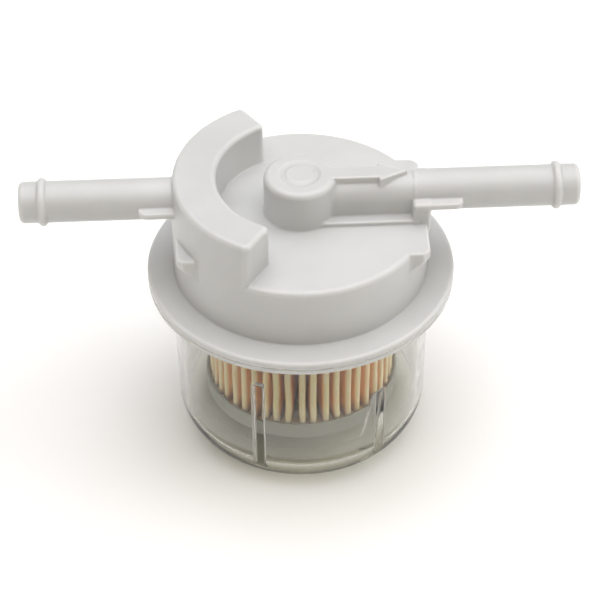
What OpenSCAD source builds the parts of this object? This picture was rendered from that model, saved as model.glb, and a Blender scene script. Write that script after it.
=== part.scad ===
// In-line fuel filter for a small engine: a moulded cap with two hose stubs, a clear bowl welded
// under it, and a pleated paper element inside.
// Millimetres. +Z is up, +X points to the outlet, and the origin is the centre of the bowl's base.

/* [Hose stubs] */
// Length over the tips of the two stubs
span = 107.6; // [104:0.2:116]
// Outside diameter of a stub
stub_d = 8; // [7.6:0.1:8.4]
// Bore of a stub
stub_bore = 5; // [4:0.1:5.4]
// Height of the stubs' axis above the deck
stub_rise = 4; // [3.9:0.1:4.4]
// Diameter of the bead that holds the hose
bead_d = 9.3; // [9:0.1:10]

/* [Cap] */
// Diameter of the drum
drum_d = 50; // [49.6:0.1:50.4]
// Height of the deck above the base
deck_z = 53.2; // [53:0.1:56]
// Thickness of the deck and the drum's wall
cap_wall = 2; // [1.6:0.1:2.2]
// Thickness of the cap's flange
cap_flange_t = 1.5; // [1.2:0.1:2.4]
// Height of the C-shaped inlet chamber above the deck
chamber_h = 8.9; // [8.6:0.1:10]
// Diameter of the outlet boss
boss_d = 14; // [13.4:0.1:15]
// Height of the outlet boss above the deck
boss_h = 8.8; // [8.6:0.1:9.6]

/* [Bowl] */
// Height of the bowl, from its base to the welded joint
bowl_h = 38.9; // [38.4:0.1:39.4]
// Outside diameter of the bowl at its mouth
bowl_d = 51.2; // [50.8:0.1:51.6]
// Thickness of the bowl's wall
bowl_wall = 1.6; // [1.2:0.1:1.7]
// Diameter of the flanges of the bowl and the cap
flange_d = 60.6; // [58:0.2:64]
// Thickness of the bowl's flange
bowl_flange_t = 1.1; // [0.9:0.1:1.6]
// Radius round the base of the bowl
base_r = 9.2; // [8.6:0.1:9.4]

/* [Element] */
// Number of pleats in the paper
pleat_count = 48; // [36:1:48]
// Diameter over the pleats' tips
pleat_d = 37.8; // [37.4:0.1:37.8]
// Thickness of the paper
paper_t = 0.4; // [0.3:0.05:0.45]

/* [Hidden] */
$fn = 96;
eps = 0.01;

// Cap
drum_r = drum_d / 2;
flange_r = flange_d / 2;
ceiling_z = deck_z - cap_wall;
edge_r = 1;
skirt_gap = 0.15;
skirt_depth = 2.4;
skirt_t = 1.6;

// C-shaped inlet chamber: two eccentric arcs, cut off by a mouth that opens towards +X
chamber_r = 24.4;
chamber_inner_r = 17;
chamber_inner_x = 0.9;
mouth_x = 4.5;
mouth_angle = 124.5;
mouth_reach = 60;

// Stubs
stub_z = deck_z + stub_rise;
stub_r = stub_d / 2;
tip_x = span / 2;
tip_edge = 0.8;
bead_x = tip_x - 4.4;
bead_w = 1.6;
fin_x = 31;
fin_half_w = 5.9;
fin_t = 1.3;
fin_end_r = 1.5;

// Outlet boss, channel and arrow
boss_r = boss_d / 2;
boss_top_z = deck_z + boss_h;
ring_r = 3.3;
ring_w = 1.4;
ring_depth = 0.3;
channel_r = 3.8;
plinth_h = 1;
block_x0 = 21.4;
block_x1 = 24.8;
arrow_shaft_half_w = 1.8;
arrow_head_half_w = 2.75;
arrow_neck_x = 15;
arrow_tip_x = 20.6;

// Side lugs
lug_x = 24.1;
lug_y = 14.7;
lug_h = 4.5;
lug_chamfer = 1.2;

// Outlet collar, which the element's seal grips
collar_r = 6;
collar_bore_r = 4;
collar_bottom_z = 46.5;
passage_top_z = boss_top_z - cap_wall;

// Bowl
bowl_r = bowl_d / 2;
bowl_low_r = bowl_r - 0.2;
floor_t = 1.8;
rib_w = 2;
rib_root_r = bowl_r - bowl_wall / 2;
guide_rib_angle = 67;
guide_rib_r = 22.4;
guide_rib_z = 27.8;
gusset_angle = 127;
gusset_foot_r = 17.6;
gusset_seat_r = 19.95;
gusset_seat_drop = 0.2;
gusset_shoulder_r = 22.2;
gusset_shoulder_z = 20.5;
gusset_z = 23.5;
gusset_slope = 2.4;

// Element
plate_r = 19.6;
plate_t = 1.5;
rim_t = 0.6;
rim_h = 2.3;
plate_bottom_z = 10.5;
plate_top_z = 48.9;
bond_t = 1.4;
bond_bottom_z = plate_bottom_z + plate_t;
paper_bottom_z = bond_bottom_z + bond_t;
bond_top_z = plate_top_z - plate_t;
paper_top_z = bond_top_z - bond_t;
pleat_r = pleat_d / 2;
pleat_phase = 4.7;
pleat_pitch = 360 / pleat_count;
tip_half_w = 0.62;
fold_half_gap = 0.1;
fold_half_w = 0.46;
core_r = 8.2;
core_bore_r = 7;
bond_inner_r = core_r + 0.1;
paper_inner_r = 8.8;
window_rows = 5;
windows_per_row = 6;
window_w = 4;
window_h = 4.4;
window_first_z = 15.5;
window_pitch = 6.2;
spigot_r = 6.8;
spigot_h = 2;
seal_clear = 0.4;
neck_bore_r = 7.9;
neck_r = 9.2;
neck_h = 2;
clip_t = 0.3;
clip_gap = 0.05;
clip_depth = 2.2;
clip_inset_z = 2.4;
clip_angle = pleat_phase + 11 * pleat_pitch;

// A disc with its top edge rounded
module rounded_disc(r, h, edge) {
    rotate_extrude() {
        square([r, h - edge]);
        square([r - edge, h]);
        translate([r - edge, h - edge]) circle(edge, $fn = 48);
    }
}

// A hole whose top edge flares out in a quarter round
module flared_hole(r, h, edge) {
    rotate_extrude() {
        translate([0, -eps]) square([r, h + 2 * eps]);
        difference() {
            translate([0, h - edge]) square([r + edge, edge + eps]);
            translate([r + edge, h - edge]) circle(edge, $fn = 48);
        }
    }
}

// A solid cylinder along X, from x0 to x1
module bar_x(r, x0, x1, z) {
    translate([x0, 0, z]) rotate([0, 90, 0]) cylinder(r = r, h = x1 - x0);
}

// The wedge that opens the C towards +X
module mouth(apex_x, z0, z1) {
    far_x = apex_x + mouth_reach * cos(mouth_angle);
    far_y = mouth_reach * sin(mouth_angle);
    translate([0, 0, z0]) linear_extrude(z1 - z0)
        polygon([[apex_x, 0], [far_x, far_y], [mouth_reach, far_y],
                 [mouth_reach, -far_y], [far_x, -far_y]]);
}

module drum() {
    translate([0, 0, bowl_h]) rounded_disc(drum_r, deck_z - bowl_h, edge_r);
    translate([0, 0, bowl_h]) rounded_disc(flange_r, cap_flange_t, 0.5);
}

// One side's pair of lugs: chamfered corners at deck level, each sloping back into the drum below
module side_lugs() {
    outline = [[0, 0], [lug_x, 0], [lug_x, lug_y - lug_chamfer], [lug_x - lug_chamfer, lug_y], [0, lug_y]];
    translate([0, 0, deck_z - lug_h])
        intersection() {
            cylinder(r1 = drum_r, r2 = drum_r + lug_h, h = lug_h);
            for (m = [0, 1])
                mirror([0, m, 0]) linear_extrude(lug_h) polygon(outline);
        }
}

module chamber_block() {
    difference() {
        translate([0, 0, deck_z - cap_wall]) rounded_disc(chamber_r, chamber_h + cap_wall, edge_r);
        translate([chamber_inner_x, 0, deck_z]) flared_hole(chamber_inner_r, chamber_h, edge_r);
        mouth(mouth_x, deck_z, deck_z + chamber_h + 1);
    }
}

// Hollow of the C, open to the drum below
module chamber_hollow() {
    inner_apex = mouth_x - cap_wall / sin(180 - mouth_angle);
    difference() {
        translate([0, 0, ceiling_z - eps]) cylinder(r = chamber_r - cap_wall, h = chamber_h + eps);
        translate([chamber_inner_x, 0, ceiling_z - 1])
            cylinder(r = chamber_inner_r + cap_wall, h = chamber_h + 2);
        mouth(inner_apex, ceiling_z - 1, deck_z + chamber_h);
    }
}

module boss() {
    difference() {
        translate([0, 0, deck_z - eps]) rounded_disc(boss_r, boss_h + eps, edge_r);
        translate([0, 0, boss_top_z - ring_depth])
            difference() {
                cylinder(r = ring_r + ring_w / 2, h = 1);
                translate([0, 0, -1]) cylinder(r = ring_r - ring_w / 2, h = 3);
            }
    }
}

// Raised flow arrow, level with the boss
module arrow() {
    translate([0, 0, stub_z]) linear_extrude(boss_top_z - stub_z)
        polygon([[boss_r - 1, -arrow_shaft_half_w], [arrow_neck_x, -arrow_shaft_half_w],
                 [arrow_neck_x, -arrow_head_half_w], [arrow_tip_x, 0],
                 [arrow_neck_x, arrow_head_half_w], [arrow_neck_x, arrow_shaft_half_w],
                 [boss_r - 1, arrow_shaft_half_w]]);
}

module outlet_channel() {
    bar_x(channel_r, 0, block_x0 + 1, stub_z);
    translate([0, -channel_r, deck_z - eps]) cube([block_x0, 2 * channel_r, stub_rise + eps]);
    translate([0, -fin_half_w, deck_z - eps]) cube([block_x0, 2 * fin_half_w, plinth_h + eps]);
    translate([block_x0, -fin_half_w, deck_z - eps])
        cube([block_x1 - block_x0, 2 * fin_half_w, stub_rise + fin_t / 2 + eps]);
    arrow();
}

// Flat fins on both sides of a stub, with round ends
module fins(x0) {
    translate([0, 0, stub_z - fin_t / 2]) linear_extrude(fin_t) {
        translate([x0, -fin_half_w]) square([fin_x - fin_end_r - x0, 2 * fin_half_w]);
        translate([x0, -fin_half_w + fin_end_r]) square([fin_x - x0, 2 * (fin_half_w - fin_end_r)]);
        for (s = [-1, 1])
            translate([fin_x - fin_end_r, s * (fin_half_w - fin_end_r)]) circle(fin_end_r, $fn = 48);
    }
}

// A stub pointing along +X, from the drum's edge to its tip
module stub(x0) {
    translate([x0, 0, stub_z]) rotate([0, 90, 0]) {
        rounded_disc(stub_r, tip_x - x0, tip_edge);
        translate([0, 0, bead_x - x0])
            rotate_extrude() translate([(bead_d - bead_w) / 2, 0]) circle(bead_w / 2, $fn = 48);
    }
    fins(x0);
}

module cap_outside() {
    drum();
    side_lugs();
    mirror([1, 0, 0]) side_lugs();
    chamber_block();
    boss();
    outlet_channel();
    stub(block_x0);
    mirror([1, 0, 0]) stub(chamber_r - 1.2);
}

module cap_inside() {
    translate([0, 0, bowl_h - eps]) cylinder(r = drum_r - cap_wall, h = ceiling_z - bowl_h + eps);
    chamber_hollow();
}

// Skirt that centres the cap in the bowl's mouth
module skirt() {
    outer = bowl_r - bowl_wall - skirt_gap;
    translate([0, 0, bowl_h - skirt_depth])
        difference() {
            cylinder(r = outer, h = skirt_depth + eps);
            translate([0, 0, -1]) cylinder(r = outer - skirt_t, h = skirt_depth + 3);
        }
}

module upper_cap() {
    color("whitesmoke")
        difference() {
            union() {
                difference() {
                    cap_outside();
                    cap_inside();
                }
                skirt();
                translate([0, 0, collar_bottom_z])
                    cylinder(r = collar_r, h = ceiling_z - collar_bottom_z + eps);
            }
            translate([0, 0, collar_bottom_z - 1])
                cylinder(r = collar_bore_r, h = passage_top_z - collar_bottom_z + 1);
            bar_x(stub_bore / 2, 0, tip_x + 1, stub_z);
            bar_x(stub_bore / 2, -tip_x - 1, -chamber_inner_r - cap_wall - 1, stub_z);
        }
}

// Outline of the bowl's body, filled: a straight wall that runs into a round base edge
module bowl_outline(inset, bottom) {
    centre = bowl_low_r - base_r;
    difference() {
        union() {
            translate([centre, base_r]) circle(base_r - inset);
            translate([0, bottom]) square([centre, base_r]);
            polygon([[0, base_r], [bowl_low_r - inset, base_r], [bowl_r - inset, bowl_h], [0, bowl_h]]);
        }
        translate([-base_r, -1]) square([base_r, bowl_h + 2]);
        translate([0, -base_r]) square([flange_r, base_r + bottom]);
    }
}

// A rib on the wall, along +X, from its side view
module rib() {
    translate([0, rib_w / 2, 0]) rotate([90, 0, 0]) linear_extrude(rib_w) children();
}

// Shallow rib that stands straight up the wall
module guide_rib() {
    rib() polygon([[guide_rib_r, floor_t / 2], [rib_root_r, floor_t / 2],
                   [rib_root_r, guide_rib_z], [guide_rib_r, guide_rib_z]]);
}

// Rib that is deep at its foot, so that it keeps the element in the middle
module gusset() {
    rib() polygon([[gusset_foot_r, floor_t / 2], [rib_root_r, floor_t / 2], [rib_root_r, gusset_z],
                   [gusset_shoulder_r, gusset_z - gusset_slope], [gusset_shoulder_r, gusset_shoulder_z],
                   [gusset_seat_r, plate_bottom_z - gusset_seat_drop], [gusset_foot_r, floor_t]]);
}

module clear_bowl() {
    color("lightgray", 0.4)
        union() {
            rotate_extrude()
                difference() {
                    bowl_outline(0, 0);
                    translate([0, eps]) bowl_outline(bowl_wall, floor_t);
                }
            translate([0, 0, bowl_h - bowl_flange_t])
                difference() {
                    cylinder(r = flange_r, h = bowl_flange_t);
                    translate([0, 0, -1]) cylinder(r = bowl_r - bowl_wall / 2, h = bowl_flange_t + 2);
                }
            intersection() {
                rotate_extrude() bowl_outline(bowl_wall / 2, floor_t / 2);
                for (side = [0, 180]) {
                    rotate([0, 0, guide_rib_angle + side]) guide_rib();
                    rotate([0, 0, gusset_angle + side]) gusset();
                }
            }
        }
}

// Point at radius r, w to the side of the radial line at angle a
function beside(r, w, a) = [r * cos(a) - w * sin(a), r * sin(a) + w * cos(a)];

// Star outline with one tip a pleat: a flat tip and a flat valley
module star(tip_r, tip_w, valley_r, valley_w) {
    polygon([for (i = [0:pleat_count - 1])
        for (corner = [[tip_r, -tip_w, 0], [tip_r, tip_w, 0],
                       [valley_r, -valley_w, 0.5], [valley_r, valley_w, 0.5]])
            beside(corner[0], corner[1], pleat_phase + (i + corner[2]) * pleat_pitch)]);
}

module filter_paper() {
    color("wheat")
        translate([0, 0, paper_bottom_z]) linear_extrude(paper_top_z - paper_bottom_z)
            difference() {
                star(pleat_r, tip_half_w, paper_inner_r + paper_t, fold_half_gap);
                star(pleat_r - paper_t, tip_half_w - paper_t, paper_inner_r, fold_half_w);
            }
}

// Channel strip crimped over the pleat where the ends of the paper meet
module seam_clip() {
    z0 = paper_bottom_z + clip_inset_z;
    half_w = tip_half_w + clip_gap + clip_t;
    color("silver")
        rotate([0, 0, clip_angle]) translate([pleat_r - clip_depth, 0, z0])
            difference() {
                translate([0, -half_w, 0])
                    cube([clip_depth + clip_gap + clip_t, 2 * half_w, paper_top_z - clip_inset_z - z0]);
                translate([-1, -half_w + clip_t, -1])
                    cube([clip_depth + clip_gap + 1, 2 * (half_w - clip_t), bowl_h]);
            }
}

// Rim that stands along the paper's edge
module plate_rim(z0) {
    translate([0, 0, z0])
        difference() {
            cylinder(r = plate_r, h = rim_h);
            translate([0, 0, -1]) cylinder(r = plate_r - rim_t, h = rim_h + 2);
        }
}

module top_end_plate() {
    color("gainsboro")
        union() {
            translate([0, 0, bond_top_z])
                difference() {
                    union() {
                        cylinder(r = plate_r, h = plate_t);
                        cylinder(r = neck_r, h = plate_t + neck_h);
                    }
                    translate([0, 0, -1]) cylinder(r = collar_r + seal_clear, h = plate_t + 2);
                    translate([0, 0, plate_t]) cylinder(r = neck_bore_r, h = neck_h + 1);
                }
            plate_rim(bond_top_z - rim_h);
        }
}

module bottom_end_plate() {
    color("gainsboro")
        union() {
            translate([0, 0, plate_bottom_z]) cylinder(r = plate_r, h = plate_t);
            translate([0, 0, plate_bottom_z]) cylinder(r = spigot_r, h = plate_t + spigot_h);
            plate_rim(plate_bottom_z + plate_t);
        }
}

module core_tube() {
    color("ivory")
        difference() {
            translate([0, 0, bond_bottom_z]) cylinder(r = core_r, h = bond_top_z - bond_bottom_z);
            translate([0, 0, bond_bottom_z - 1]) cylinder(r = core_bore_r, h = bond_top_z);
            for (row = [0:window_rows - 1])
                for (i = [0:windows_per_row - 1])
                    rotate([0, 0, (i + (row % 2) / 2) * 360 / windows_per_row])
                        translate([0, -window_w / 2, window_first_z + row * window_pitch])
                            cube([core_r + 1, window_w, window_h]);
        }
}

// Ring of set adhesive between the core and the plate's rim
module bond_ring(z0) {
    translate([0, 0, z0])
        difference() {
            cylinder(r = plate_r - rim_t, h = bond_t);
            translate([0, 0, -1]) cylinder(r = bond_inner_r, h = bond_t + 2);
        }
}

module upper_bond() {
    color("goldenrod") bond_ring(paper_top_z);
}

module lower_bond() {
    color("goldenrod") bond_ring(bond_bottom_z);
}

module outlet_o_ring() {
    section_r = (neck_bore_r - collar_r) / 2;
    color("dimgray")
        translate([0, 0, plate_top_z + section_r])
            rotate_extrude() translate([collar_r + section_r, 0]) circle(section_r, $fn = 48);
}

upper_cap();
clear_bowl();
filter_paper();
seam_clip();
top_end_plate();
bottom_end_plate();
core_tube();
upper_bond();
lower_bond();
outlet_o_ring();
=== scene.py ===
"""The looks of an in-line fuel filter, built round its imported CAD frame.

The white cap and the clear bowl are sculpted as distance fields in millimetres: every edge and every
corner between two shapes has its moulded radius. The other pieces are lathed or lofted. Each piece rides
on the one body, and replaces the CAD node that it stands for. Sizes are in millimetres, with the origin
at the centre of the bowl's base, +X towards the outlet and +Z up.
"""

from math import cos, pi, radians, sin, tau

import bpy
import numpy as np
from mathutils import Matrix, Vector


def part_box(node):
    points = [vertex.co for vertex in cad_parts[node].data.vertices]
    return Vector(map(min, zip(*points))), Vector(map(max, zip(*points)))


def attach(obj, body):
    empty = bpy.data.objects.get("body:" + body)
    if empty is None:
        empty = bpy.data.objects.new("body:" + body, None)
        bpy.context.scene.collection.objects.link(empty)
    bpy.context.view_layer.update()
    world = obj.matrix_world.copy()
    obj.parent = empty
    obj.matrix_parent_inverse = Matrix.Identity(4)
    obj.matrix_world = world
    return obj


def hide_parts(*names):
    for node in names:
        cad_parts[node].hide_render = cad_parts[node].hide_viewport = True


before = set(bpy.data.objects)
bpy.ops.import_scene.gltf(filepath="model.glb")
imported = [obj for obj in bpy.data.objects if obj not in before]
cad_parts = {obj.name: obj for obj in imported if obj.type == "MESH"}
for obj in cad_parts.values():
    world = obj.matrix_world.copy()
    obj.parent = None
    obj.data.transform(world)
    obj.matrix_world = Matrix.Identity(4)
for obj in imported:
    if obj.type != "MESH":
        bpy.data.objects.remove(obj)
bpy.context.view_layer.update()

MM = 0.001  # metres in a millimetre

# ---------------------------------------------------------------- sizes that the CAD frame gives


def box_mm(node):
    """Lowest and highest corner of a CAD node, in millimetres."""
    low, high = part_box(node)
    return np.array(low) / MM, np.array(high) / MM


WELD = 0.03  # depth that the cap sinks into the bowl's flange where they are welded

CAP_HIGH = box_mm("upper_cap")[1]
BOWL_HIGH = box_mm("clear_bowl")[1]
PAPER_LOW, PAPER_HIGH = box_mm("filter_paper")
BOTTOM_LOW, BOTTOM_HIGH = box_mm("bottom_end_plate")
TOP_LOW, TOP_HIGH = box_mm("top_end_plate")

TIP_X = CAP_HIGH[0]  # tips of the stubs
FLANGE_R = BOWL_HIGH[0]
JOINT_Z = BOWL_HIGH[2]  # joint between the cap and the bowl
CHAMBER_TOP = CAP_HIGH[2]
PLATE_R = BOTTOM_HIGH[0]
PLEAT_R = PAPER_HIGH[0]

# ---------------------------------------------------------------- sizes of the cap

DRUM_R = 25.0
DECK_Z = 53.2
WALL = 2.0
CEILING_Z = DECK_Z - WALL
FLANGE_TOP = JOINT_Z + 1.5
CHAMBER_R = 24.4
CHAMBER_IN_R = 17.0
CHAMBER_IN_X = 0.9
MOUTH_X = 4.5
MOUTH_ANGLE = radians(124.5)
STUB_Z = DECK_Z + 4.0
STUB_R = 4.0
STUB_BORE = 2.5
BEAD_X = TIP_X - 4.4
BEAD_HALF_W = 0.8
BEAD_R = 4.65
FIN_X = 31.0
FIN_Y = 5.9
FIN_T = 1.3
FIN_END_R = 1.5
BOSS_R = 7.0
BOSS_TOP = DECK_Z + 8.8
BOSS_EDGE = 1.2
RING_R = 3.3
RING_HALF_W = 0.95
RING_DEPTH = 0.28
CHANNEL_R = 3.8
PLINTH_TOP = DECK_Z + 1.0
BLOCK_X = (21.4, 24.8)
ARROW_SHAFT_Y = 1.8
ARROW_HEAD_Y = 2.75
ARROW_NECK_X = 15.0
ARROW_TIP_X = 20.6
LUG_X = 24.1
LUG_Y = 14.7
LUG_H = 4.5
LUG_CHAMFER = 1.2
COLLAR_R = 6.0
COLLAR_BORE = 4.0
COLLAR_Z = 46.5
SKIRT_R = (22.25, 23.85)
SKIRT_Z = JOINT_Z - 2.4

# ---------------------------------------------------------------- sizes of the bowl

BOWL_R = 25.6
BOWL_LOW_R = 25.4
BOWL_BASE_R = 9.2
BOWL_WALL = 1.6
BOWL_FLOOR = 1.8
BOWL_FLANGE_Z = JOINT_Z - 1.1
INNER_BREAK_Z = 8.3
INNER_BREAK = radians(10)
RIB_HALF_W = 1.0
RIB_STEP = radians(60)
GUIDE_RIB = radians(67)  # a guide rib and a gusset one step on, and the same two opposite
GUIDE_RIB_R = 22.4
GUIDE_RIB_TOP = 27.8
GUSSET_PROFILE = ((17.6, 1.8), (19.95, 10.3), (22.2, 20.5))
GUSSET_TOP = 23.5
GUSSET_TOP_SLOPE = 1.0
GUSSET_TOP_RISE = 0.6  # height above the shoulder at which the sloping top starts

# ---------------------------------------------------------------- sizes of the element's end plates

PLATE_T = 1.5
RIM_H = 2.3
RIM_T = 0.6
SPIGOT_R = 6.8
SPIGOT_H = 2.0
NECK_R = (7.9, 9.2)
TOP_HOLE_R = 6.4
LATHE_AXIS_R = 0.01  # a lathed outline that reaches the axis stops this far from it

# ---------------------------------------------------------------- distance fields


def both(a, b, r):
    """Intersection of two fields, with an edge of radius r."""
    return np.minimum(np.maximum(a, b), -r) + np.hypot(np.maximum(a + r, 0), np.maximum(b + r, 0))


def either(a, b, r):
    """Union of two fields, with a fillet of radius r."""
    return -both(-a, -b, r)


def slab(v, low, high):
    """Field of the space between two planes."""
    return np.maximum(low - v, v - high)


def below(v, limit, over):
    """1 where v is well below a limit, falling to almost 0 at it; it fades a fillet out."""
    return 0.02 + 0.98 * np.clip((limit - v) / over, 0, 1)


def arrow_outline(x, ay):
    """Field of the arrow's outline; ay is the distance from its centre line."""
    shaft = np.maximum(ay - ARROW_SHAFT_Y, x - ARROW_NECK_X - 1)
    length = ARROW_TIP_X - ARROW_NECK_X
    slant = np.hypot(length, ARROW_HEAD_Y)
    side = ((x - ARROW_TIP_X) * ARROW_HEAD_Y + ay * length) / slant
    head = both(ARROW_NECK_X - x, side, 0.15)
    return np.minimum(shaft, head)


def cap_outside(x, y, z):
    ax, ay = np.abs(x), np.abs(y)
    rho = np.hypot(x, y)
    base = JOINT_Z - WELD - z

    drum = both(rho - DRUM_R, z - DECK_Z, 1.0)
    flange = both(both(rho - FLANGE_R, z - FLANGE_TOP, 0.55), base, 0.2)
    body = either(np.maximum(drum, base), flange, 0.35)

    corner = (ax + ay - (LUG_X + LUG_Y - LUG_CHAMFER)) * 0.5**0.5
    plan = both(both(ax - LUG_X, ay - LUG_Y, 0.3), corner, 0.3)
    slope = (rho - DRUM_R - (z - DECK_Z + LUG_H)) * 0.5**0.5
    lugs = both(both(plan, z - DECK_Z, 0.35), np.maximum(slope, DECK_Z - LUG_H - 1 - z), 0.25)
    body = either(body, lugs, 0.5 * below(z, DECK_Z - 0.6, 1.0))

    inner = CHAMBER_IN_R - np.hypot(x - CHAMBER_IN_X, y)
    ends = (x - MOUTH_X) * sin(MOUTH_ANGLE) - ay * cos(MOUTH_ANGLE)
    draft = (DRUM_R - CHAMBER_R) / (CHAMBER_TOP - DECK_Z)
    outer = rho - DRUM_R + draft * np.maximum(z - DECK_Z, 0)
    plan = both(np.maximum(outer, inner), ends, 1.2)
    chamber = both(both(plan, z - CHAMBER_TOP, 0.9), DECK_Z - 1.5 - z, 0.1)
    body = either(body, chamber, 0.4 * below(rho, CHAMBER_R - 0.4, 1.5))

    stub_rho = np.hypot(y, z - STUB_Z)
    in_drum = np.where(x > 0, BLOCK_X[0] + 0.5, 18.0) - ax
    stub = both(both(stub_rho - STUB_R, ax - TIP_X, 0.9), in_drum, 0.1)
    bead = np.hypot(ax - BEAD_X, stub_rho - (BEAD_R - BEAD_HALF_W)) - BEAD_HALF_W
    stub = either(stub, bead, 0.25)
    fins = both(both(ax - FIN_X, ay - FIN_Y, FIN_END_R), np.abs(z - STUB_Z) - FIN_T / 2, 0.3)
    fins = np.maximum(fins, in_drum)
    body = either(body, either(stub, fins, 0.3), 0.35)

    dip = np.clip((rho - RING_R) / RING_HALF_W, -1, 1)
    over_boss = z - BOSS_TOP + RING_DEPTH / 2 * (1 + np.cos(pi * dip))
    boss = both(rho - BOSS_R, over_boss, BOSS_EDGE)
    to_right = np.maximum(-x, x - BLOCK_X[0] - 1)
    channel = np.hypot(ay, np.maximum(z - STUB_Z, 0)) - CHANNEL_R
    channel = np.maximum(channel, to_right)
    plinth = both(both(ay - FIN_Y, z - PLINTH_TOP, 0.3), to_right, 0.1)
    block = both(both(ay - FIN_Y, slab(x, *BLOCK_X), 0.45), z - STUB_Z - FIN_T / 2, 0.35)
    arrow = both(arrow_outline(x, ay), over_boss, 0.3)
    arrow = np.maximum(arrow, -x)
    line = either(either(channel, plinth, 0.4), block, 0.35)
    tower = either(either(line, boss, 0.5), arrow, 0.3 * below(z, BOSS_TOP - 0.6, 0.8))
    tower = np.maximum(tower, DECK_Z - 1.5 - z)
    return either(body, tower, 0.4)


def cap_inside(x, y, z):
    """The hollow of the cap: the drum's inside and the C-shaped inlet chamber above it."""
    rho = np.hypot(x, y)
    hollow = both(rho - (DRUM_R - WALL), z - CEILING_Z, 0.5)
    inner = CHAMBER_IN_R + WALL - np.hypot(x - CHAMBER_IN_X, y)
    ends = (x - MOUTH_X) * sin(MOUTH_ANGLE) - np.abs(y) * cos(MOUTH_ANGLE) + WALL
    chamber = both(np.maximum(rho - (CHAMBER_R - WALL), inner), ends, 0.6)
    chamber = both(chamber, z - (CHAMBER_TOP - WALL), 0.5)
    return either(hollow, np.maximum(chamber, CEILING_Z - 1 - z), 0.3)


def cap_field(x, y, z):
    rho = np.hypot(x, y)
    shell = both(cap_outside(x, y, z), -cap_inside(x, y, z), 0.2)
    skirt = both(slab(rho, *SKIRT_R), slab(z, SKIRT_Z, JOINT_Z + 1), 0.3)
    collar = both(rho - COLLAR_R, slab(z, COLLAR_Z, CEILING_Z + 1), 0.4)
    shell = either(either(shell, skirt, 0.2), collar, 0.4)
    stub_rho = np.hypot(y, z - STUB_Z)
    riser = both(rho - COLLAR_BORE, z - (BOSS_TOP - WALL), 0.5)
    outlet = np.maximum(stub_rho - STUB_BORE, -x)
    inlet = np.maximum(stub_rho - STUB_BORE, x + CHAMBER_IN_R + WALL)
    passages = np.minimum(either(riser, outlet, 0.2), inlet)
    return both(shell, -passages, 0.3)


def bowl_field(x, y, z):
    rho = np.hypot(x, y)
    wall_r = BOWL_LOW_R + np.maximum(z - BOWL_BASE_R, 0) * (BOWL_R - BOWL_LOW_R) / (JOINT_Z - BOWL_BASE_R)
    outside = both(rho - wall_r, -z, BOWL_BASE_R)
    inner_r = (INNER_BREAK_Z - BOWL_FLOOR) / (1 - sin(INNER_BREAK))
    inner_c = BOWL_LOW_R - BOWL_WALL - inner_r * cos(INNER_BREAK)
    inside = both(rho - inner_c - inner_r, BOWL_FLOOR - z, inner_r)
    inside = both(inside, rho - wall_r + BOWL_WALL, 0.2)
    top = z - JOINT_Z
    shell = both(both(outside, -inside, 0.25), top, 0.1)
    flange = both(slab(rho, BOWL_R - BOWL_WALL / 2, FLANGE_R), np.maximum(BOWL_FLANGE_Z - z, top), 0.15)
    shell = either(shell, flange, 0.4)

    angle = np.arctan2(y, x) - GUIDE_RIB
    number = np.round(angle / RIB_STEP)
    kind = np.mod(number, 3)
    angle = angle - number * RIB_STEP
    u, v = rho * np.cos(angle), rho * np.sin(angle)
    across = np.abs(v) - RIB_HALF_W
    guide = both(both(across, GUIDE_RIB_R - u, 0.35), z - GUIDE_RIB_TOP, 0.6)
    shoulder_r, shoulder_z = GUSSET_PROFILE[-1]
    edge = shoulder_r - u
    for (r0, z0), (r1, z1) in zip(GUSSET_PROFILE, GUSSET_PROFILE[1:]):
        line = (r0 + (z - z0) * (r1 - r0) / (z1 - z0) - u) * (z1 - z0) / np.hypot(z1 - z0, r1 - r0)
        edge = np.minimum(edge, line)
    slope = z - shoulder_z - GUSSET_TOP_RISE - (u - shoulder_r) * GUSSET_TOP_SLOPE
    slope /= np.hypot(1, GUSSET_TOP_SLOPE)
    gusset = both(both(across, edge, 0.45), both(z - GUSSET_TOP, slope, 0.3), 0.4)
    rib = np.where(kind < 0.5, guide, np.where(kind < 1.5, gusset, rho + 1))
    rib = np.maximum(rib, outside + BOWL_WALL / 2)
    return either(shell, rib, 0.3)


# ---------------------------------------------------------------- from field to mesh

CURVATURE = "curvature"  # the point attribute that materials read for painted highlights along edges


def stops(*spans):
    """Grid lines: each span is (from, to, step), and each span starts where the last one ends."""
    parts = []
    for low, high, step in spans:
        count = max(1, round((high - low) / step))
        parts.append(np.linspace(low, high, count, endpoint=False))
    return np.append(np.concatenate(parts), spans[-1][1])


def mirrored(*spans):
    """Grid lines on both sides of 0, from the spans on one side."""
    half = stops(*spans)
    return np.concatenate([-half[:0:-1], half])


def straight(x, y, z):
    """The grid of a piece whose grid lines run along X, Y and Z."""
    return x, y, z


def turned(r, angle, z):
    """The grid of a piece whose grid lines are radius, angle and height."""
    return r * np.cos(angle), r * np.sin(angle), z


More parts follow.
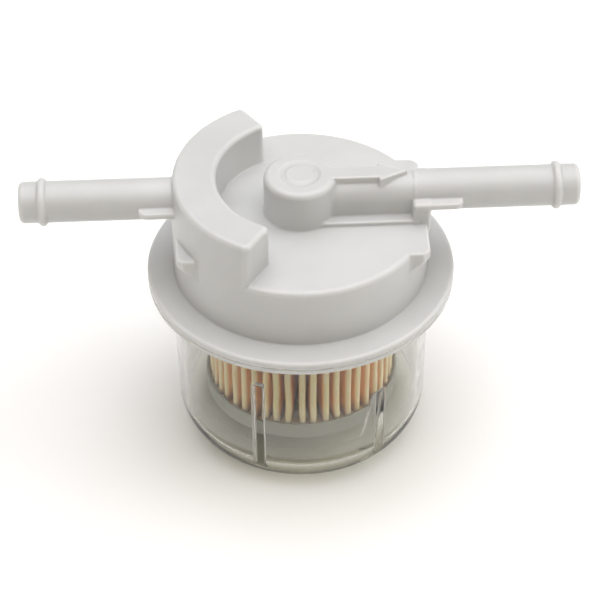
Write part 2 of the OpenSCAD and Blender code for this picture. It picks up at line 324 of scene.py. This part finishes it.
def surface_net(field, lines, to_xyz, closed):
    """Vertices and faces of the field's zero surface on a grid whose lines needn't be evenly spaced.

    to_xyz turns a grid point into x, y, z. A closed grid goes once round the Z axis: its lines are
    radius, angle and height, and a many-sided face shuts the small hole left round the axis."""
    d = field(*to_xyz(*np.meshgrid(*lines, indexing="ij"))).astype(np.float32)
    cells = np.array(d.shape) - 1
    total = np.zeros((*cells, 3))
    count = np.zeros(cells)
    crossings = []
    for axis in range(3):
        low = [slice(None)] * 3
        high = [slice(None)] * 3
        low[axis], high[axis] = slice(None, -1), slice(1, None)
        a, b = d[tuple(low)], d[tuple(high)]
        at = np.argwhere((a < 0) != (b < 0))
        if closed and axis != 1:
            at = at[at[:, 1] < cells[1]]
        i = tuple(at.T)
        t = a[i] / (a[i] - b[i])
        point = np.stack([lines[k][at[:, k]] for k in range(3)], 1)
        point[:, axis] += t * (lines[axis][at[:, axis] + 1] - lines[axis][at[:, axis]])
        point = np.stack(to_xyz(*point.T), 1)
        others = [k for k in range(3) if k != axis]
        inside = np.ones(len(at), bool)
        ring = []
        for da, db in ((1, 1), (0, 1), (0, 0), (1, 0)):
            cell = at.copy()
            cell[:, others[0]] -= da
            cell[:, others[1]] -= db
            if closed:
                cell[:, 1] %= cells[1]
            ok = np.all((cell >= 0) & (cell < cells), 1)
            np.add.at(total, tuple(cell[ok].T), point[ok])
            np.add.at(count, tuple(cell[ok].T), 1)
            inside &= ok
            ring.append(cell)
        crossings.append(([cell[inside] for cell in ring], (a[i] < 0)[inside]))
    used = count > 0
    index = np.full(cells, -1)
    index[used] = np.arange(used.sum())
    verts = total[used] / count[used][:, None]
    quads = []
    for axis, (ring, starts_in) in enumerate(crossings):
        quad = np.stack([index[tuple(cell.T)] for cell in ring], 1)
        flip = starts_in if axis == 1 else ~starts_in
        quad[flip] = quad[flip][:, ::-1]
        quads.append(quad)
    lids = []
    if closed:
        for level in np.flatnonzero((index[0] >= 0).all(0)):
            lid = index[0, :, level]
            lids.append(lid if d[0, 0, level] < 0 else lid[::-1])
    return verts, np.concatenate(quads), lids


def slope_of(field, p, h=0.01):
    """Gradient of a field at points p."""
    out = np.empty_like(p)
    for k in range(3):
        step = np.zeros(3)
        step[k] = h
        out[:, k] = (field(*(p + step).T) - field(*(p - step).T)) / (2 * h)
    return out


def curvature_of(field, p, h=0.15):
    """How sharply the surface curves at points p, a millimetre: above zero on edges, below in corners."""
    total = -6 * field(*p.T)
    for step in np.concatenate([np.eye(3), -np.eye(3)]) * h:
        total += field(*(p + step).T)
    return total / h**2


def neighbours_mean(verts, quads):
    """Mean of the vertices that share an edge with each vertex."""
    a = quads.ravel()
    b = np.roll(quads, -1, 1).ravel()
    total = np.zeros_like(verts)
    count = np.bincount(a, minlength=len(verts)) + np.bincount(b, minlength=len(verts))
    for k in range(3):
        total[:, k] = np.bincount(a, verts[b, k], len(verts)) + np.bincount(b, verts[a, k], len(verts))
    return total / np.maximum(count, 1)[:, None]


SETTLE_TURNS = 6
SLIDE_TURNS = (1, 2)  # the turns that also slide vertices along the surface, to even out the faces
LONGEST_STEP = 0.4


def sculpt(name, field, lines, to_xyz=straight, closed=False):
    """A mesh object on the field's surface, with the field's own normals."""
    verts, quads, lids = surface_net(field, lines, to_xyz, closed)
    for turn in range(SETTLE_TURNS):
        if turn in SLIDE_TURNS:
            slide = neighbours_mean(verts, quads) - verts
            verts += 0.5 * slide
        g = slope_of(field, verts)
        d = field(*verts.T)
        step = d / np.maximum((g * g).sum(1), 0.2)
        verts -= np.clip(step, -LONGEST_STEP, LONGEST_STEP)[:, None] * g
    normals = slope_of(field, verts)
    normals /= np.maximum(np.linalg.norm(normals, axis=1), 1e-6)[:, None]
    piece = mesh_object(name, verts, [*quads, *lids], normals)
    curve = piece.data.attributes.new(CURVATURE, "FLOAT", "POINT")
    curve.data.foreach_set("value", curvature_of(field, verts))
    return piece


# ---------------------------------------------------------------- meshes


def mesh_object(name, verts_mm, faces, normals=None):
    mesh = bpy.data.meshes.new(name)
    mesh.from_pydata((np.asarray(verts_mm) * MM).tolist(), [], [list(map(int, f)) for f in faces])
    mesh.validate()
    mesh.polygons.foreach_set("use_smooth", [True] * len(mesh.polygons))
    if normals is not None:
        mesh.normals_split_custom_set_from_vertices(normals.tolist())
    mesh.update()
    piece = bpy.data.objects.new(name, mesh)
    bpy.context.scene.collection.objects.link(piece)
    return piece


def rounded(profile, radius, arc=5):
    """A closed outline with each corner rounded. A corner's own radius may follow its two numbers."""
    out = []
    count = len(profile)
    for i, corner in enumerate(profile):
        here = np.array(corner[:2], float)
        r = corner[2] if len(corner) > 2 else radius
        back = np.array(profile[i - 1][:2], float) - here
        on = np.array(profile[(i + 1) % count][:2], float) - here
        back_len, on_len = np.linalg.norm(back), np.linalg.norm(on)
        back, on = back / back_len, on / on_len
        r = min(r, 0.45 * min(back_len, on_len))
        for k in range(arc + 1):
            t = k / arc
            out.append(here + r * (back * (1 - t) ** 2 + on * t**2))
    return out


def lathe(name, profile, segments=160, radius=0.2):
    """A closed outline of (radius, height) points turned round the Z axis."""
    outline = np.array(rounded(profile, radius))
    n = len(outline)
    angles = np.arange(segments) * tau / segments
    verts = np.stack(
        [
            np.outer(np.cos(angles), outline[:, 0]),
            np.outer(np.sin(angles), outline[:, 0]),
            np.tile(outline[:, 1], (segments, 1)),
        ],
        -1,
    ).reshape(-1, 3)
    i = np.arange(n)
    faces = []
    for s in range(segments):
        here, there = s * n, (s + 1) % segments * n
        faces += np.stack([here + i, there + i, there + (i + 1) % n, here + (i + 1) % n], 1).tolist()
    piece = mesh_object(name, verts, faces)
    if signed_volume(piece.data) < 0:
        piece.data.flip_normals()
    return piece


def signed_volume(mesh):
    mesh.calc_loop_triangles()
    co = np.array([v.co for v in mesh.vertices])
    tri = np.array([t.vertices for t in mesh.loop_triangles])
    a, b, c = co[tri[:, 0]], co[tri[:, 1]], co[tri[:, 2]]
    return float((a * np.cross(b, c)).sum() / 6)


# ---------------------------------------------------------------- the pleated paper

PLEATS = 48
PLEAT_PHASE = radians(4.7)
PAPER_T = 0.4
PLEAT_TIP_R = 0.66
PLEAT_FOLD_R = 0.11
PLEAT_IN_R = 9.2
PLEAT_ROWS = 26


def pleat_outline(wander, draw_in):
    """Outer outline of the folded paper at one height: points (x, y), tip by tip.

    wander shifts each tip sideways and draw_in moves it inwards, both in millimetres."""
    pitch = tau / PLEATS
    arc = np.linspace(-pi / 2, pi / 2, 9)
    sides = np.linspace(0.12, 0.88, 5)
    points = []
    for i in range(PLEATS):
        middle = PLEAT_PHASE + i * pitch
        tip_r = PLEAT_R - draw_in[i] - PLEAT_TIP_R
        tip = [(tip_r + PLEAT_TIP_R * cos(a), PLEAT_TIP_R * sin(a) + wander[i]) for a in arc]
        tip = [place(r, w, middle) for r, w in tip]
        fold_r = PLEAT_IN_R + PLEAT_FOLD_R
        fold = [(fold_r - PLEAT_FOLD_R * cos(a), PLEAT_FOLD_R * sin(a)) for a in arc[::2]]
        fold = [place(r, w, middle + pitch / 2) for r, w in fold]
        nxt_i = (i + 1) % PLEATS
        nxt_r = PLEAT_R - draw_in[nxt_i] - PLEAT_TIP_R
        nxt = place(nxt_r, -PLEAT_TIP_R + wander[nxt_i], middle + pitch)
        down = [tip[-1] + (fold[0] - tip[-1]) * t for t in sides]
        up = [fold[-1] + (nxt - fold[-1]) * t for t in sides]
        points += tip + down + fold + up
    return np.array(points)


def place(r, w, angle):
    """The point at radius r and w to the side of the radial line at an angle."""
    return np.array([r * cos(angle) - w * sin(angle), r * sin(angle) + w * cos(angle)])


SEED = 7


def smooth_walk(rng, rows, columns, size, waves):
    """Random wobble along rows, one column for each pleat, made of a few sine waves."""
    t = np.linspace(0, 1, rows)[:, None]
    out = np.zeros((rows, columns))
    for k in range(1, waves + 1):
        phase = rng.uniform(0, tau, columns)
        out += rng.normal(0, size / k, columns) * np.sin(tau * k * t * 0.8 + phase)
    return out


def make_paper():
    rng = np.random.default_rng(SEED)
    wander = smooth_walk(rng, PLEAT_ROWS, PLEATS, 0.10, 4) + rng.normal(0, 0.09, PLEATS)
    draw_in = np.abs(smooth_walk(rng, PLEAT_ROWS, PLEATS, 0.08, 3)) + rng.uniform(0, 0.12, PLEATS)
    heights = np.linspace(PAPER_LOW[2], PAPER_HIGH[2], PLEAT_ROWS)
    outer, inner = [], []
    for row, z in enumerate(heights):
        line = pleat_outline(wander[row], draw_in[row])
        along = np.roll(line, -1, 0) - np.roll(line, 1, 0)
        along /= np.linalg.norm(along, axis=1)[:, None]
        inward = np.stack([-along[:, 1], along[:, 0]], 1)
        level = np.full((len(line), 1), z)
        outer.append(np.hstack([line, level]))
        inner.append(np.hstack([line + inward * PAPER_T, level]))
    n = len(outer[0])
    verts = np.concatenate(outer + inner)
    faces = []
    i = np.arange(n)
    j = (i + 1) % n
    shift = PLEAT_ROWS * n
    for row in range(PLEAT_ROWS - 1):
        a, b = row * n, (row + 1) * n
        faces += np.stack([a + i, a + j, b + j, b + i], 1).tolist()
        faces += np.stack([shift + a + i, shift + b + i, shift + b + j, shift + a + j], 1).tolist()
    top = (PLEAT_ROWS - 1) * n
    faces += np.stack([i, shift + i, shift + j, j], 1).tolist()
    faces += np.stack([top + i, top + j, shift + top + j, shift + top + i], 1).tolist()
    return mesh_object("pleated_paper", verts, faces)


# ---------------------------------------------------------------- materials


class Nodes:
    """A material's node tree, with short calls for the nodes used here."""

    def __init__(self, name):
        self.material = bpy.data.materials.new(name)
        self.material.use_nodes = True
        self.tree = self.material.node_tree
        self.shader = self.tree.nodes["Principled BSDF"]
        self.place = self.add("ShaderNodeTexCoord").outputs["Object"]

    def add(self, kind, **values):
        node = self.tree.nodes.new(kind)
        for key, value in values.items():
            setattr(node, key, value)
        return node

    def link(self, source, target):
        self.tree.links.new(source, target)

    def noise(self, scale, detail=3.0, stretch=(1, 1, 1)):
        """Noise whose scale is in features a metre."""
        mapping = self.add("ShaderNodeMapping")
        mapping.inputs["Scale"].default_value = stretch
        self.link(self.place, mapping.inputs["Vector"])
        node = self.add("ShaderNodeTexNoise")
        node.inputs["Scale"].default_value = scale
        node.inputs["Detail"].default_value = detail
        self.link(mapping.outputs["Vector"], node.inputs["Vector"])
        return node.outputs["Fac"]

    def curvature(self):
        """Above zero on edges and below zero in corners, as sculpt stores it."""
        return self.add("ShaderNodeAttribute", attribute_name=CURVATURE).outputs["Fac"]

    def off_axis(self):
        """Distance from the Z axis, in metres."""
        flat = self.add("ShaderNodeVectorMath", operation="MULTIPLY")
        flat.inputs[1].default_value = (1, 1, 0)
        self.link(self.place, flat.inputs[0])
        size = self.add("ShaderNodeVectorMath", operation="LENGTH")
        self.link(flat.outputs["Vector"], size.inputs[0])
        return size.outputs["Value"]

    def facing(self):
        """0 where the surface is seen square on, and 1 at its outline."""
        return self.add("ShaderNodeLayerWeight").outputs["Facing"]

    def height(self):
        """Height above the bowl's base, in metres."""
        parts = self.add("ShaderNodeSeparateXYZ")
        self.link(self.place, parts.inputs[0])
        return parts.outputs["Z"]

    def math(self, operation, *values):
        node = self.add("ShaderNodeMath", operation=operation)
        for socket, value in zip(node.inputs, values):
            self.link(value, socket)
        return node.outputs[0]

    def spread(self, value, low, high, out_low=0.0, out_high=1.0):
        """Maps low to out_low and high to out_high, in a straight line, and stops at both ends."""
        node = self.add("ShaderNodeMapRange")
        ends = {"From Min": low, "From Max": high, "To Min": out_low, "To Max": out_high}
        for key, number in ends.items():
            node.inputs[key].default_value = number
        self.link(value, node.inputs["Value"])
        return node.outputs["Result"]

    def blend(self, factor, a, b):
        """Colour a where factor is 0, and b where it is 1; a colour may be a socket."""
        node = self.add("ShaderNodeMix", data_type="RGBA")
        self.link(factor, node.inputs["Factor"])
        for socket, colour in ((node.inputs[6], a), (node.inputs[7], b)):
            if isinstance(colour, tuple):
                socket.default_value = (*colour, 1)
            else:
                self.link(colour, socket)
        return node.outputs[2]

    def bump(self, height, distance, strength=1.0, after=None):
        """A normal for a bump whose depth is distance, in metres, on top of another normal."""
        node = self.add("ShaderNodeBump")
        node.inputs["Distance"].default_value = distance
        node.inputs["Strength"].default_value = strength
        self.link(height, node.inputs["Height"])
        if after is not None:
            self.link(after, node.inputs["Normal"])
        return node.outputs["Normal"]

    def set(self, **sockets):
        """Sets or links the shader's sockets; an underscore in a name stands for a space."""
        for key, value in sockets.items():
            socket = self.shader.inputs[key.replace("_", " ")]
            if isinstance(value, bpy.types.NodeSocket):
                self.link(value, socket)
            else:
                socket.default_value = (*value, 1) if key == "Base_Color" else value


def cap_plastic():
    m = Nodes("cap_plastic")
    broad = m.noise(60, 4)
    cloud = m.spread(broad, 0.35, 0.65)
    colour = m.blend(cloud, (0.575, 0.577, 0.573), (0.615, 0.617, 0.613))
    # painted highlight: convex edges are lightened towards near-white
    colour = m.blend(m.spread(m.curvature(), 0.3, 1.6, 0, 0.4), colour, (0.74, 0.742, 0.738))
    speck = m.spread(m.noise(900, 2), 0.70, 0.78, 0, 0.25)
    colour = m.blend(speck, colour, (0.50, 0.48, 0.43))
    grain = m.noise(6000, 2)
    flow = m.noise(420, 3)
    normal = m.bump(flow, 0.00006, 0.35)
    normal = m.bump(grain, 0.00001, 0.35, normal)
    m.set(
        Base_Color=colour,
        Roughness=m.spread(flow, 0.3, 0.7, 0.30, 0.42),
        Normal=normal,
        IOR=1.5,
        Subsurface_Weight=0.4,
        Subsurface_Radius=(1.0, 0.9, 0.75),
        Subsurface_Scale=0.0018,
    )
    return m.material


LOW_PAINTED_SHADE = (10, 2)  # painted shade: the bowl's plastic darkens between these heights, where it is seen edge on, for the shadowed floor seen through its base


def clear_plastic():
    m = Nodes("clear_plastic")
    haze = m.spread(m.noise(90, 3), 0.35, 0.65)
    flow = m.noise(160, 2, (1, 1, 0.4))
    height = m.height()
    # painted highlight: curved edges and corners of the bowl turn white and less clear, for the bright
    # lines of light along them
    edge = m.spread(m.math("ABSOLUTE", m.curvature()), 0.6, 2.2, 0, 0.6)
    weld = m.spread(height, (BOWL_FLANGE_Z - 0.3) * MM, (BOWL_FLANGE_Z + 0.1) * MM, 0, 0.8)
    edge_highlight_and_weld = m.math("MAXIMUM", edge, weld)
    # painted shade: the plastic darkens and turns olive towards the bowl's base
    low = m.spread(height, LOW_PAINTED_SHADE[0] * MM, LOW_PAINTED_SHADE[1] * MM)
    colour = m.blend(haze, (0.885, 0.88, 0.865), (0.92, 0.915, 0.905))
    # painted shade: the plastic darkens towards the bowl's outline, where it is seen edge on
    grazing_shade = m.spread(m.facing(), 0.40, 0.80)
    colour = m.blend(grazing_shade, colour, (0.62, 0.615, 0.61))
    colour = m.blend(low, colour, (0.54, 0.53, 0.42))
    m.set(
        Base_Color=m.blend(edge_highlight_and_weld, colour, (0.97, 0.97, 0.96)),
        Roughness=m.spread(haze, 0, 1, 0.01, 0.03),
        Normal=m.bump(flow, 0.0001, 0.10),
        Transmission_Weight=m.spread(edge_highlight_and_weld, 0, 1, 0.99, 0.4),
        IOR=1.33,
    )
    clear = m.add("ShaderNodeBsdfTransparent")
    clear.inputs["Color"].default_value = (0.96, 0.957, 0.94, 1)
    mix = m.add("ShaderNodeMixShader")
    m.link(m.add("ShaderNodeLightPath").outputs["Is Shadow Ray"], mix.inputs[0])
    m.link(m.shader.outputs[0], mix.inputs[1])
    m.link(clear.outputs[0], mix.inputs[2])
    m.link(mix.outputs[0], m.tree.nodes["Material Output"].inputs["Surface"])
    return m.material


def pleat_paper():
    m = Nodes("pleat_paper")
    fibre = m.noise(2600, 4, (1, 1, 0.35))
    blotch = m.noise(260, 3)
    colour = m.blend(m.spread(blotch, 0.35, 0.65), (0.96, 0.77, 0.42), (0.98, 0.83, 0.51))
    colour = m.blend(m.spread(fibre, 0.45, 0.75, 0, 0.5), colour, (0.98, 0.88, 0.60))
    # painted shade: the paper turns deep orange away from the pleat tips, for the coloured shade between
    # the folds
    side = m.spread(m.off_axis(), (PLEAT_R - 0.2) * MM, (PLEAT_R - 0.8) * MM)
    colour = m.blend(side, colour, (0.97, 0.50, 0.17))
    # darker brown towards the paper's foot, most deep in the folds
    foot = m.spread(m.height(), (PAPER_LOW[2] + 3.5) * MM, (PAPER_LOW[2] + 0.5) * MM)
    deep = m.spread(m.off_axis(), (PLEAT_R - 0.1) * MM, (PLEAT_R - 1.1) * MM, 0.1, 0.8)
    foot = m.math("MULTIPLY", foot, deep)
    colour = m.blend(foot, colour, (0.36, 0.19, 0.08))
    normal = m.bump(fibre, 0.00008, 0.6)
    m.set(
        Base_Color=colour,
        Roughness=m.spread(fibre, 0.3, 0.7, 0.75, 0.92),
        Normal=normal,
        Subsurface_Weight=0.4,
        Subsurface_Radius=(1.0, 0.6, 0.3),
        Subsurface_Scale=0.0014,
    )
    return m.material


def plate_plastic(name, dark, light):
    m = Nodes(name)
    cloud = m.spread(m.noise(120, 4), 0.35, 0.65)
    grain = m.noise(5000, 2)
    m.set(
        Base_Color=m.blend(cloud, dark, light),
        Roughness=m.spread(grain, 0.3, 0.7, 0.42, 0.58),
        Normal=m.bump(grain, 0.00002, 0.4),
    )
    return m.material


def set_adhesive():
    m = Nodes("set_adhesive")
    pool = m.noise(420, 3)
    m.set(
        Base_Color=m.blend(m.spread(pool, 0.35, 0.65), (0.55, 0.36, 0.12), (0.72, 0.52, 0.22)),
        Roughness=m.spread(pool, 0.3, 0.7, 0.2, 0.36),
        Normal=m.bump(pool, 0.0002, 0.5),
    )
    return m.material


def seal_rubber():
    m = Nodes("seal_rubber")
    grain = m.noise(3000, 3)
    m.set(
        Base_Color=m.blend(m.spread(grain, 0.35, 0.65), (0.018, 0.018, 0.018), (0.04, 0.04, 0.04)),
        Roughness=m.spread(grain, 0.3, 0.7, 0.5, 0.7),
        Normal=m.bump(grain, 0.00003, 0.5),
    )
    return m.material


def clip_steel():
    m = Nodes("clip_steel")
    draw = m.noise(900, 4, (1, 1, 0.05))
    m.set(
        Base_Color=m.blend(m.spread(draw, 0.35, 0.65), (0.50, 0.50, 0.49), (0.66, 0.66, 0.65)),
        Metallic=1.0,
        Roughness=m.spread(draw, 0.3, 0.7, 0.25, 0.42),
        Normal=m.bump(draw, 0.00002, 0.5),
    )
    return m.material


def floor_paint():
    m = Nodes("studio_floor")
    grain = m.noise(30, 3)
    m.set(
        Base_Color=m.blend(m.spread(grain, 0.35, 0.65), (0.965, 0.96, 0.945), (0.975, 0.97, 0.955)),
        Roughness=m.spread(grain, 0.3, 0.7, 0.85, 0.95),
    )
    return m.material


def dress(piece, material):
    piece.data.materials.clear()
    piece.data.materials.append(material)


def add_piece(piece, material, slot, *nodes):
    """Gives a new piece its material and its body, and hides the CAD nodes that it stands for; slot is
    not used.
    """
    dress(piece, material)
    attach(piece, "root")
    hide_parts(*nodes)


# ---------------------------------------------------------------- camera, floor and light

CAMERA_AZIMUTH = -2.37
CAMERA_ELEVATION = 41.66
CAMERA_ROLL = -0.47
CAMERA_DISTANCE = 401.0
CAMERA_ASIDE = -0.18
CAMERA_HEIGHT = 29.69
CAMERA_LENS = 119.3
SENSOR = 36.0


def make_camera():
    a, e, roll = radians(CAMERA_AZIMUTH), radians(CAMERA_ELEVATION), radians(CAMERA_ROLL)
    back = Vector((sin(a) * cos(e), -cos(a) * cos(e), sin(e)))
    right = Vector((cos(a), sin(a), 0))
    up = back.cross(right)
    across = right * cos(roll) + up * sin(roll)
    up = up * cos(roll) - right * sin(roll)
    target = right * CAMERA_ASIDE + Vector((0, 0, CAMERA_HEIGHT))
    turn = Matrix((across, up, back)).transposed().to_4x4()
    data = bpy.data.cameras.new("camera")
    data.lens = CAMERA_LENS
    data.sensor_width = SENSOR
    data.clip_start = 0.01
    data.clip_end = 20
    camera = bpy.data.objects.new("camera", data)
    camera.matrix_world = Matrix.Translation((target + back * CAMERA_DISTANCE) * MM) @ turn
    bpy.context.scene.collection.objects.link(camera)
    bpy.context.scene.camera = camera


FLOOR_HALF = 15000
FLOOR_GAP = 0.02  # so that the floor and the bowl's base don't share a plane


def make_floor():
    s = FLOOR_HALF
    floor = mesh_object("studio_floor", [(-s, -s, 0), (s, -s, 0), (s, s, 0), (-s, s, 0)], [(0, 1, 2, 3)])
    floor.location.z = -FLOOR_GAP * MM
    dress(floor, floor_paint())


def softbox(name, place_mm, size_mm, power):
    """A square area light that faces the middle of the part."""
    data = bpy.data.lights.new(name, "AREA")
    data.shape = "SQUARE"
    data.size = size_mm * MM
    data.energy = power
    light = bpy.data.objects.new(name, data)
    light.location = Vector(place_mm) * MM
    aim = Vector(LIGHT_AIM) * MM - light.location
    light.rotation_euler = aim.to_track_quat("-Z", "Y").to_euler()
    bpy.context.scene.collection.objects.link(light)


OVERHEAD = (0.95, 1.02, 1.25)  # light from straight above
OVERHEAD_RISE = (0.65, 1.0)  # it fades in between these heights of the unit sky
FRONT_GLOW = (1.10, 0.98, 0.72)  # warm light from the upper front
FRONT_GLOW_RISE = (0.15, 0.95)
LIGHT_AIM = (0, 0, 30)
BACKDROP = (0.60, 0.59, 0.58)  # what the camera sees past the floor's edge; it lights nothing
TOP_POWER = 3.6
BACK_POWER = 0.6
LEFT_POWER = 0.6
RIGHT_POWER = 2.0


def make_sky():
    """A soft studio tent with no light near its horizon."""
    world = bpy.data.worlds.new("studio")
    world.use_nodes = True
    tree = world.node_tree

    def add(kind, **values):
        node = tree.nodes.new(kind)
        for key, value in values.items():
            setattr(node, key, value)
        return node

    def rise(start, end):
        node = add("ShaderNodeMapRange", interpolation_type="SMOOTHSTEP")
        node.inputs["From Min"].default_value = start
        node.inputs["From Max"].default_value = end
        tree.links.new(parts.outputs["Z"], node.inputs["Value"])
        return node.outputs["Result"]

    def tint(factor, base, colour, kind):
        node = add("ShaderNodeMix", data_type="RGBA", blend_type=kind, clamp_factor=False)
        tree.links.new(factor, node.inputs["Factor"])
        node.inputs[7].default_value = (*colour, 1)
        if base is None:
            node.inputs[6].default_value = (0, 0, 0, 1)
        else:
            tree.links.new(base, node.inputs[6])
        return node.outputs[2]

    parts = add("ShaderNodeSeparateXYZ")
    tree.links.new(add("ShaderNodeTexCoord").outputs["Generated"], parts.inputs[0])
    forward = add("ShaderNodeMath", operation="MULTIPLY_ADD")
    forward.inputs[1].default_value = -0.5
    forward.inputs[2].default_value = 0.5
    tree.links.new(parts.outputs["Y"], forward.inputs[0])
    front = add("ShaderNodeMath", operation="MULTIPLY")
    tree.links.new(rise(*FRONT_GLOW_RISE), front.inputs[0])
    tree.links.new(forward.outputs[0], front.inputs[1])
    overhead = tint(rise(*OVERHEAD_RISE), None, OVERHEAD, "MIX")
    tent = tint(front.outputs[0], overhead, FRONT_GLOW, "ADD")
    tree.links.new(tent, tree.nodes["Background"].inputs["Color"])
    backdrop = add("ShaderNodeBackground")
    backdrop.inputs["Color"].default_value = (*BACKDROP, 1)
    mix = add("ShaderNodeMixShader")
    tree.links.new(add("ShaderNodeLightPath").outputs["Is Camera Ray"], mix.inputs[0])
    tree.links.new(tree.nodes["Background"].outputs[0], mix.inputs[1])
    tree.links.new(backdrop.outputs[0], mix.inputs[2])
    tree.links.new(mix.outputs[0], tree.nodes["World Output"].inputs["Surface"])
    bpy.context.scene.world = world


def make_light():
    make_sky()
    softbox("top_softbox", (0, 60, 900), 1000, TOP_POWER)
    softbox("back_softbox", (0, 600, 600), 600, BACK_POWER)
    softbox("left_softbox", (-700, 60, 350), 500, LEFT_POWER)
    softbox("right_softbox", (650, 20, 480), 500, RIGHT_POWER)
    bpy.context.scene.view_settings.view_transform = "Standard"


# ---------------------------------------------------------------- the pieces


def make_cap():
    """The cap, on a square grid whose lines crowd together where it has small features."""
    xs = mirrored((0, 4.4, 0.24), (4.4, 8.2, 0.38), (8.2, 15, 0.5), (15, 26, 0.42), (26, 32, 0.5),
                  (32, 48, 0.9), (48, 54.2, 0.3))
    ys = mirrored((0, 4.4, 0.24), (4.4, 7.4, 0.34), (7.4, 14, 0.6), (14, 16.5, 0.42), (16.5, 31, 0.47))
    zs = stops((35.9, 41.2, 0.3), (41.2, 48, 0.75), (48, 51.8, 0.45), (51.8, 54.8, 0.3), (54.8, 61, 0.38),
               (61, 62.6, 0.2))
    return sculpt("cap", cap_field, (xs, ys, zs))


def make_bowl():
    """The bowl, on a turned grid whose lines crowd together at the ribs."""
    radii = stops((0, 14, 1.4), (14, 22, 0.5), (22, 26.5, 0.25), (26.5, 29.5, 0.6), (29.5, 31, 0.25))
    near = radians(4.6)
    at_rib = (-near, near, radians(0.36))
    one_step = stops(at_rib, (near, RIB_STEP - near, radians(2.4)))[:-1]
    two_steps = stops(at_rib, (near, 2 * RIB_STEP - near, radians(2.4)))[:-1]
    half_turn = np.append(one_step, two_steps + RIB_STEP)
    angles = np.concatenate([half_turn, half_turn + pi, [tau - near]]) + GUIDE_RIB
    heights = stops((-0.6, 3, 0.3), (3, 10, 0.35), (10, 20, 0.8), (20, 27, 0.3), (27, 35.5, 1),
                    (35.5, 39.4, 0.2))
    return sculpt("bowl", bowl_field, (radii, angles, heights), turned, closed=True)


def make_bottom_plate():
    z0, z1 = BOTTOM_LOW[2], BOTTOM_HIGH[2]
    base = z0 + PLATE_T
    spigot = base + SPIGOT_H
    return lathe(
        "bottom_plate",
        [
            (LATHE_AXIS_R, z0, 0),
            (PLATE_R, z0, 0.5),
            (PLATE_R, z1, 0.25),
            (PLATE_R - RIM_T, z1, 0.25),
            (PLATE_R - RIM_T, base, 0.1),
            (SPIGOT_R, base, 0.2),
            (SPIGOT_R, spigot, 0.4),
            (LATHE_AXIS_R, spigot, 0),
        ],
    )


def make_top_plate():
    z0, z1 = TOP_LOW[2], TOP_HIGH[2]
    under = z0 + RIM_H
    over = under + PLATE_T
    return lathe(
        "top_plate",
        [
            (TOP_HOLE_R, under, 0.2),
            (PLATE_R - RIM_T, under, 0.1),
            (PLATE_R - RIM_T, z0, 0.25),
            (PLATE_R, z0, 0.25),
            (PLATE_R, over, 0.5),
            (NECK_R[1], over, 0.2),
            (NECK_R[1], z1, 0.3),
            (NECK_R[0], z1, 0.3),
            (NECK_R[0], over, 0.1),
            (TOP_HOLE_R, over, 0.2),
        ],
    )


make_camera()
make_floor()
make_light()

add_piece(make_cap(), cap_plastic(), "cap_plastic", "upper_cap")
add_piece(make_bowl(), clear_plastic(), "bowl_plastic", "clear_bowl")
add_piece(make_paper(), pleat_paper(), "paper", "filter_paper")
# painted shade: the end plates get the dark grey-green of a lighter plastic in shadow inside the bowl
plate_in_painted_shade = plate_plastic("plate_plastic", (0.27, 0.285, 0.23), (0.32, 0.335, 0.28))
add_piece(make_bottom_plate(), plate_in_painted_shade, "plate_plastic", "bottom_end_plate")
add_piece(make_top_plate(), plate_in_painted_shade, "plate_plastic", "top_end_plate")

dress(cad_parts["core_tube"], plate_plastic("core_plastic", (0.62, 0.60, 0.52), (0.70, 0.68, 0.60)))
adhesive = set_adhesive()
dress(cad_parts["upper_bond"], adhesive)
dress(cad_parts["lower_bond"], adhesive)
dress(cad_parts["outlet_o_ring"], seal_rubber())
dress(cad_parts["seam_clip"], clip_steel())
